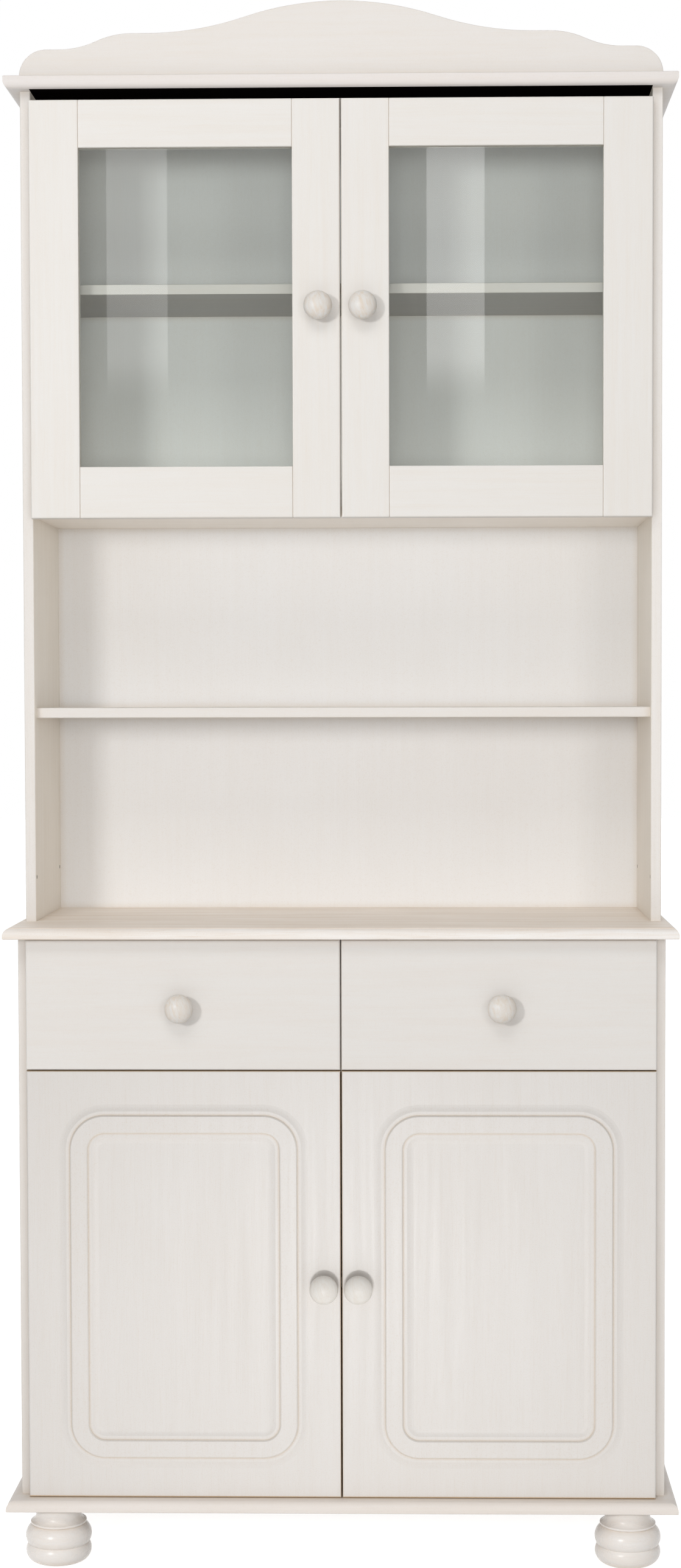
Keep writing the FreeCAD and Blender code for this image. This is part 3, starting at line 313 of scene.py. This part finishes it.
# Float glass: nearly clear, with the grey-green body colour of iron in the melt and a mirror-like face
def floatGlass(name, look):
    material, tree = newMaterial(name)
    clear = addNode(tree, "ShaderNodeBsdfTransparent", {}, {"Color": toLinear(look["tint"])})
    mirror = addNode(tree, "ShaderNodeBsdfGlossy", {}, {"Roughness": look["roughness"]})
    angle = addNode(tree, "ShaderNodeFresnel", {}, {"IOR": look["ior"]})
    side = addNode(tree, "ShaderNodeNewGeometry")
    front = addNode(tree, "ShaderNodeMath", {"operation": "SUBTRACT"}, {0: 1.0, 1: (side, "Backfacing")})
    share = addNode(tree, "ShaderNodeMath", {"operation": "MULTIPLY"}, {
        0: (angle, "Fac"), 1: (front, "Value")})
    pane = addNode(tree, "ShaderNodeMixShader", {}, {
        0: (share, "Value"), 1: (clear, "BSDF"), 2: (mirror, "BSDF")})
    addNode(tree, "ShaderNodeOutputMaterial", {}, {"Surface": (pane, "Shader")})
    return material


glassLook = {"tint": "#F8FAF9", "roughness": 0.01, "ior": 1.52}
windowGlass = floatGlass("floatGlass", glassLook)

# Bare planed wood: warm, dry and dull, with clear grain
bareLook = {
    "grain": "y", "turn": (0, 0, 0), "poreWidth": 0.8, "poreLength": 25.0, "streakWidth": 5.0,
    "streakLength": 200.0, "cloudScale": 4.0, "speckSize": 1.3,
    "streakTone": 0.7, "poreTone": 0.3, "cloudTone": 0.1, "speckTone": 0.0,
    "cornerReach": 5.0, "cornerShut": 0.45, "cornerTone": 0.2,
    "paint": "#DDBE92", "under": "#B98D5B", "furrow": 0.3, "furrowDepth": 0.3,
    "roughness": 0.6, "specular": 0.3,
}
barePine = paintedWood("barePlanedPine", bareLook)
barePly = paintedWood("bareBirchPlywood", {**bareLook, "grain": "x", "paint": "#D8BD96", "streakTone": 0.5})
bareBeech = paintedWood("bareBeech", {**bareLook, "paint": "#CFA77C", "under": "#B98760", "streakTone": 0.5})


# Plated steel: bright with fine polishing lines
def platedSteel(name, look):
    material, tree = newMaterial(name)
    place = addNode(tree, "ShaderNodeTexCoord")
    sizes = (look["lineLength"], look["lineLength"], look["lineWidth"])
    space = addNode(tree, "ShaderNodeMapping", {}, {
        "Vector": (place, "Object"), "Scale": [perMetre / size for size in sizes]})
    lines = addNode(tree, "ShaderNodeTexNoise", {}, {
        "Vector": (space, "Vector"), "Scale": 1.0, "Detail": look["detail"]})
    brightest, dullest = look["roughness"]
    dull = addNode(tree, "ShaderNodeMapRange", {}, {
        "Value": (lines, "Fac"), "To Min": brightest, "To Max": dullest})
    surface = addNode(tree, "ShaderNodeBsdfPrincipled", {}, {
        "Base Color": toLinear(look["colour"]), "Metallic": 1.0, "Roughness": (dull, "Result")})
    addNode(tree, "ShaderNodeOutputMaterial", {}, {"Surface": (surface, "BSDF")})
    return material


nickelSteel = platedSteel("nickelPlatedSteel", {
    "colour": "#C9C7C2", "roughness": (0.22, 0.36), "lineLength": 4.0, "lineWidth": 0.4, "detail": 2.0})
zincSteel = platedSteel("zincPlatedSteel", {
    "colour": "#C4C6C8", "roughness": (0.30, 0.44), "lineLength": 2.0, "lineWidth": 0.3, "detail": 2.0})
print("materials made")

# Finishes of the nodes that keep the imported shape: how the name starts, how it ends and the finish.
# The first that fits is taken.
finishRules = [
    ("", ("_glass",), windowGlass),
    ("", ("_screws", "_screw"), zincSteel),
    ("", ("hinge_arms", "shelf_pins", "_hinge_cups"), nickelSteel),
    ("", ("assembly_dowels", "drawer_runners"), bareBeech),
    ("drawer_", ("_sides", "_back"), barePine),
    ("drawer_", ("_bottom",), barePly),
    ("drawer_", ("_front",), drawerPaint),
    ("drawer_divider", ("",), uprightPaint),
    ("lower_door", ("_leaf",), leafPaint),
    ("", ("_back_panel",), backPaint),
    ("cornice", ("",), cornicePaint),
    ("", ("pediment", "nook_shelf"), edgePaint),
    ("cupboard_shelf", ("",), shelfPaint),
    ("hutch_side", ("",), hutchSidePaint),
    ("cabinet_side", ("",), cabinetSidePaint),
    ("base_board", ("",), basePaint),
    ("worktop", ("",), worktopPaint),
    ("upper_door", ("_rail",), railPaint),
    ("upper_door", ("",), stilePaint),
    ("", ("",), levelPaint),
]
for name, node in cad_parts.items():
    node.data.materials.clear()
    node.data.materials.append(next(
        finish for start, ends, finish in finishRules if name.startswith(start) and name.endswith(ends)))
print("finishes set on the packed nodes")


# Turned pieces: knobs and feet are spun from their outlines so that they are round at any distance
def arcPoints(start, via, end, steps):
    # points on the circle through three points, as (radius, length) pairs
    ax, ay = start
    bx, by = via
    cx, cy = end
    spread = 2 * (ax * (by - cy) + bx * (cy - ay) + cx * (ay - by))
    middleX = ((ax**2 + ay**2) * (by - cy) + (bx**2 + by**2) * (cy - ay) + (cx**2 + cy**2) * (ay - by)) / spread
    middleY = ((ax**2 + ay**2) * (cx - bx) + (bx**2 + by**2) * (ax - cx) + (cx**2 + cy**2) * (bx - ax)) / spread
    reach = math.hypot(ax - middleX, ay - middleY)
    angles = [math.atan2(y - middleY, x - middleX) for x, y in (start, via, end)]
    sweep = (angles[2] - angles[0]) % math.tau
    if (angles[1] - angles[0]) % math.tau > sweep:
        sweep -= math.tau
    turns = [angles[0] + sweep * step / steps for step in range(steps + 1)]
    return [(middleX + reach * math.cos(turn), middleY + reach * math.sin(turn)) for turn in turns]


spinLook = {"merge": 0.01, "sharpAngle": 32}


def spunPiece(name, outline, places, axis, steps, finish):
    # outline pairs are millimetres from the axis and along it, places are the axis ends in metres
    shape = bmesh.new()
    for place in places:
        rim = [shape.verts.new(Vector(place) + Vector((radius * mm, 0, 0)) + axis * length * mm)
               for radius, length in outline]
        line = [shape.edges.new(pair) for pair in zip(rim, rim[1:])]
        bmesh.ops.spin(
            shape, geom=rim + line, cent=place, axis=axis, angle=math.tau, steps=steps, use_merge=True)
    bmesh.ops.remove_doubles(shape, verts=shape.verts[:], dist=spinLook["merge"] * mm)
    bmesh.ops.recalc_face_normals(shape, faces=shape.faces[:])
    for face in shape.faces:
        face.smooth = True
    for edge in shape.edges:
        if len(edge.link_faces) == 2 and edge.calc_face_angle() > math.radians(spinLook["sharpAngle"]):
            edge.smooth = False
    mesh = bpy.data.meshes.new(name)
    shape.to_mesh(mesh)
    shape.free()
    piece = bpy.data.objects.new(name, mesh)
    scene.collection.objects.link(piece)
    piece.data.materials.append(finish)
    return piece


knobShape = {
    "foot": (8.875, 0.0), "waist": (7.455, 3.0), "neck": (8.6, 6.565), "ballMiddle": 17.5,
    "ballHalf": 12.5, "ballRadius": 17.75, "ballSteps": 40, "waistSteps": 10, "spinSteps": 72,
}


def knobOutline(look):
    outline = [(0.0, 0.0)] + arcPoints(look["foot"], look["waist"], look["neck"], look["waistSteps"])
    neckRadius, neckLength = look["neck"]
    start = math.atan2((neckLength - look["ballMiddle"]) / look["ballHalf"], neckRadius / look["ballRadius"])
    for step in range(1, look["ballSteps"] + 1):
        angle = start + (math.pi / 2 - start) * step / look["ballSteps"]
        outline.append((
            look["ballRadius"] * math.cos(angle), look["ballMiddle"] + look["ballHalf"] * math.sin(angle)))
    outline[-1] = (0.0, outline[-1][1])
    return outline


knobs = []
for body in (
        "upper_door_left", "upper_door_right", "lower_door_left", "lower_door_right",
        "drawer_left", "drawer_right"):
    name = body + "_knob"
    low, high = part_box(name)
    place = ((low.x + high.x) / 2, high.y, (low.z + high.z) / 2)
    knob = spunPiece(
        "turned_" + name, knobOutline(knobShape), [place], Vector((0, -1, 0)), knobShape["spinSteps"],
        lowKnobPaint if body.startswith("lower") else highKnobPaint)
    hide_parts(name)
    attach(knob, body)
    knobs.append(knob)
print("knobs turned:", len(knobs))

footShape = {
    "collarTop": (28.09, 71.0), "collarLow": (28.09, 60.0), "flareVia": (29.6, 54.3),
    "flareLow": (34.65, 50.5), "beadLow": (34.65, 48.5), "groove": (33.29, 47.0), "bulbVia": (41.0, 32.3),
    "crease": (37.8, 23.08), "toeVia": (40.67, 14.77), "toe": (28.7, 0.0),
    "flareSteps": 8, "bulbSteps": 28, "toeSteps": 20, "spinSteps": 96,
    "places": [
        (-0.3555, -0.12075, 0.0), (0.3555, -0.12075, 0.0), (-0.3555, 0.12825, 0.0), (0.3555, 0.12825, 0.0)],
}


def footOutline(look):
    outline = [(0.0, look["collarTop"][1]), look["collarTop"], look["collarLow"]]
    outline += arcPoints(look["collarLow"], look["flareVia"], look["flareLow"], look["flareSteps"])[1:]
    outline += [look["beadLow"]]
    outline += arcPoints(look["groove"], look["bulbVia"], look["crease"], look["bulbSteps"])
    outline += arcPoints(look["crease"], look["toeVia"], look["toe"], look["toeSteps"])[1:]
    return outline + [(0.0, 0.0)]


feet = spunPiece(
    "turned_bun_feet", footOutline(footShape), footShape["places"], Vector((0, 0, 1)), footShape["spinSteps"],
    footPaint)
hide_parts("bun_feet")
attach(feet, "carcass")
print("feet turned")


def seenRays(tree):
    # 1 for the rays that show the background: from the camera, off a mirror face or through glass
    rays = addNode(tree, "ShaderNodeLightPath")
    direct = addNode(tree, "ShaderNodeMath", {"operation": "MAXIMUM"}, {
        0: (rays, "Is Camera Ray"), 1: (rays, "Is Glossy Ray")})
    either = addNode(tree, "ShaderNodeMath", {"operation": "MAXIMUM"}, {
        0: (direct, "Value"), 1: (rays, "Is Transmission Ray")})
    return either, "Value"


# Floor: pale and matt, white to the camera, and it keeps the shadow
floorLook = {"size": 40.0, "colour": "#F4F4F4", "lift": 0.75}


def paleFloor(name, look):
    material, tree = newMaterial(name)
    matt = addNode(tree, "ShaderNodeBsdfDiffuse", {}, {"Color": toLinear(look["colour"])})
    glow = addNode(tree, "ShaderNodeEmission", {}, {"Color": white, "Strength": look["lift"]})
    lifted = addNode(tree, "ShaderNodeAddShader", {}, {0: (matt, "BSDF"), 1: (glow, "Emission")})
    shown = addNode(tree, "ShaderNodeMixShader", {}, {
        0: seenRays(tree), 1: (matt, "BSDF"), 2: (lifted, "Shader")})
    addNode(tree, "ShaderNodeOutputMaterial", {}, {"Surface": (shown, "Shader")})
    return material


floorShape = bmesh.new()
bmesh.ops.create_grid(floorShape, x_segments=1, y_segments=1, size=floorLook["size"] / 2)
floorMesh = bpy.data.meshes.new("floor")
floorShape.to_mesh(floorMesh)
floorShape.free()
floor = bpy.data.objects.new("floor", floorMesh)
scene.collection.objects.link(floor)
floor.data.materials.append(paleFloor("paleFloor", floorLook))

# World: soft even light, white to the camera and in glass and metal
worldLook = {"light": 0.44, "seen": 1.0}
world = bpy.data.worlds.new("softRoom")
scene.world = world
world.use_nodes = True
worldTree = world.node_tree
worldTree.nodes.clear()
ambient = addNode(worldTree, "ShaderNodeBackground", {}, {"Color": white, "Strength": worldLook["light"]})
backdrop = addNode(worldTree, "ShaderNodeBackground", {}, {"Color": white, "Strength": worldLook["seen"]})
room = addNode(worldTree, "ShaderNodeMixShader", {}, {
    0: seenRays(worldTree), 1: (ambient, "Background"), 2: (backdrop, "Background")})
addNode(worldTree, "ShaderNodeOutputWorld", {}, {"Surface": (room, "Shader")})

# Lamps: the photograph's shadows fall in other directions on other pieces, so each lamp lights one group.
# The lower doors are lit from low in the middle, the other fronts mostly from the far left, and the boards
# from the front and the near left.
lamps = {
    "broadSoftbox": {
        "place": (0.10, -3.6, 1.12), "aim": (0.0, 0.0, 1.0), "size": (0.7, 0.7), "power": 26.0,
        "lights": "carcass"},
    "nookSoftbox": {
        "place": (-1.28, -3.6, 1.42), "aim": (0.0, 0.0, 1.2), "size": (0.5, 0.5), "power": 32.0,
        "lights": "inside"},
    "sideSoftbox": {
        "place": (-1.45, -3.6, 1.42), "aim": (0.0, 0.0, 1.2), "size": (0.6, 0.6), "power": 9.0,
        "lights": "sides"},
    "middleSoftbox": {
        "place": (0.30, -3.6, 1.12), "aim": (0.0, 0.0, 1.0), "size": (0.7, 0.7), "power": 10.5,
        "lights": "fronts"},
    "leftSoftbox": {
        "place": (-2.45, -5.1, 2.0), "aim": (0.0, 0.0, 1.0), "size": (0.6, 0.6), "power": 98.0,
        "lights": "fronts"},
    "highSoftbox": {
        "place": (-0.4, -2.6, 3.3), "aim": (0.0, 0.0, 1.0), "size": (2.0, 1.2), "power": 26.0,
        "lights": "rest"},
    "rightSoftbox": {
        "place": (1.45, -3.6, 1.42), "aim": (0.0, 0.0, 1.2), "size": (0.6, 0.6), "power": 12.0,
        "lights": "rest"},
    "lowFrontSoftbox": {
        "place": (0.0, -3.4, 0.30), "aim": (0.0, -0.14, 0.35), "size": (0.9, 0.4), "power": 12.0,
        "lights": "low"},
    "lowMiddleSoftbox": {
        "place": (-0.03, -1.8, 0.06), "aim": (0.0, -0.14, 0.36), "size": (0.24, 0.1), "power": 9.2,
        "lights": "low"},
}
mirroredLamps = ("leftSoftbox", "lowMiddleSoftbox")


def lightGroups(name):
    if "lower_door" in name:
        return ["low"]
    if name.startswith("upper_door") or name.endswith("_front") or "knob" in name or "feet" in name:
        return ["rest", "fronts"]
    if "_side_" in name:
        return ["rest", "carcass", "sides"]
    return ["rest", "carcass", "inside"]


litPieces = {}
for piece in [*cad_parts.values(), *knobs, feet, floor]:
    for group in lightGroups(piece.name):
        if group not in litPieces:
            litPieces[group] = bpy.data.collections.new(group + "Pieces")
        litPieces[group].objects.link(piece)
for name, look in lamps.items():
    data = bpy.data.lights.new(name, "AREA")
    data.shape = "RECTANGLE"
    data.size, data.size_y = look["size"]
    data.energy = look["power"]
    lamp = bpy.data.objects.new(name, data)
    lamp.location = look["place"]
    lamp.rotation_euler = (Vector(look["aim"]) - Vector(look["place"])).to_track_quat("-Z", "Y").to_euler()
    lamp.visible_glossy = name in mirroredLamps
    scene.collection.objects.link(lamp)
    lamp.light_linking.receiver_collection = litPieces[look["lights"]]

# Two tall pale cards behind the camera, seen only as the upright bands mirrored in the panes
cardLook = {
    "y": -3.6, "lowZ": 1.80, "highZ": 2.75, "fadeLow": 1.845, "fadeHigh": 1.985,
    "left": {"span": (-0.7286, -0.5703), "brightness": 2.7},
    "right": {"span": (0.1029, 0.2529), "brightness": 4.1},
}


def paleCard(name, look, brightness):
    material, tree = newMaterial(name)
    fade = addNode(tree, "ShaderNodeMapRange", {"interpolation_type": "SMOOTHSTEP"}, {
        "Value": (objectAxes(tree), "Z"), "From Min": look["fadeLow"], "From Max": look["fadeHigh"],
        "To Max": brightness})
    glow = addNode(tree, "ShaderNodeEmission", {}, {"Strength": (fade, "Result")})
    clear = addNode(tree, "ShaderNodeBsdfTransparent")
    both = addNode(tree, "ShaderNodeAddShader", {}, {0: (glow, "Emission"), 1: (clear, "BSDF")})
    addNode(tree, "ShaderNodeOutputMaterial", {}, {"Surface": (both, "Shader")})
    return material


for side in ("left", "right"):
    left, right = cardLook[side]["span"]
    cardShape = bmesh.new()
    bmesh.ops.create_grid(cardShape, x_segments=1, y_segments=1, size=1 / 2)  # a unit square
    turn = Matrix.Rotation(math.radians(90), 4, "X")
    width = Matrix.Diagonal((right - left, 1, cardLook["highZ"] - cardLook["lowZ"], 1))
    middleZ = (cardLook["lowZ"] + cardLook["highZ"]) / 2
    middle = Matrix.Translation(((left + right) / 2, cardLook["y"], middleZ))
    bmesh.ops.transform(cardShape, matrix=middle @ width @ turn, verts=cardShape.verts[:])
    cardMesh = bpy.data.meshes.new(side + "Card")
    cardShape.to_mesh(cardMesh)
    cardShape.free()
    card = bpy.data.objects.new(side + "Card", cardMesh)
    scene.collection.objects.link(card)
    card.data.materials.append(paleCard(side + "CardGlow", cardLook, cardLook[side]["brightness"]))
    card.visible_camera = False
    card.visible_diffuse = False
    card.visible_shadow = False
    card.visible_transmission = False
print("floor, world, lamps and cards set")
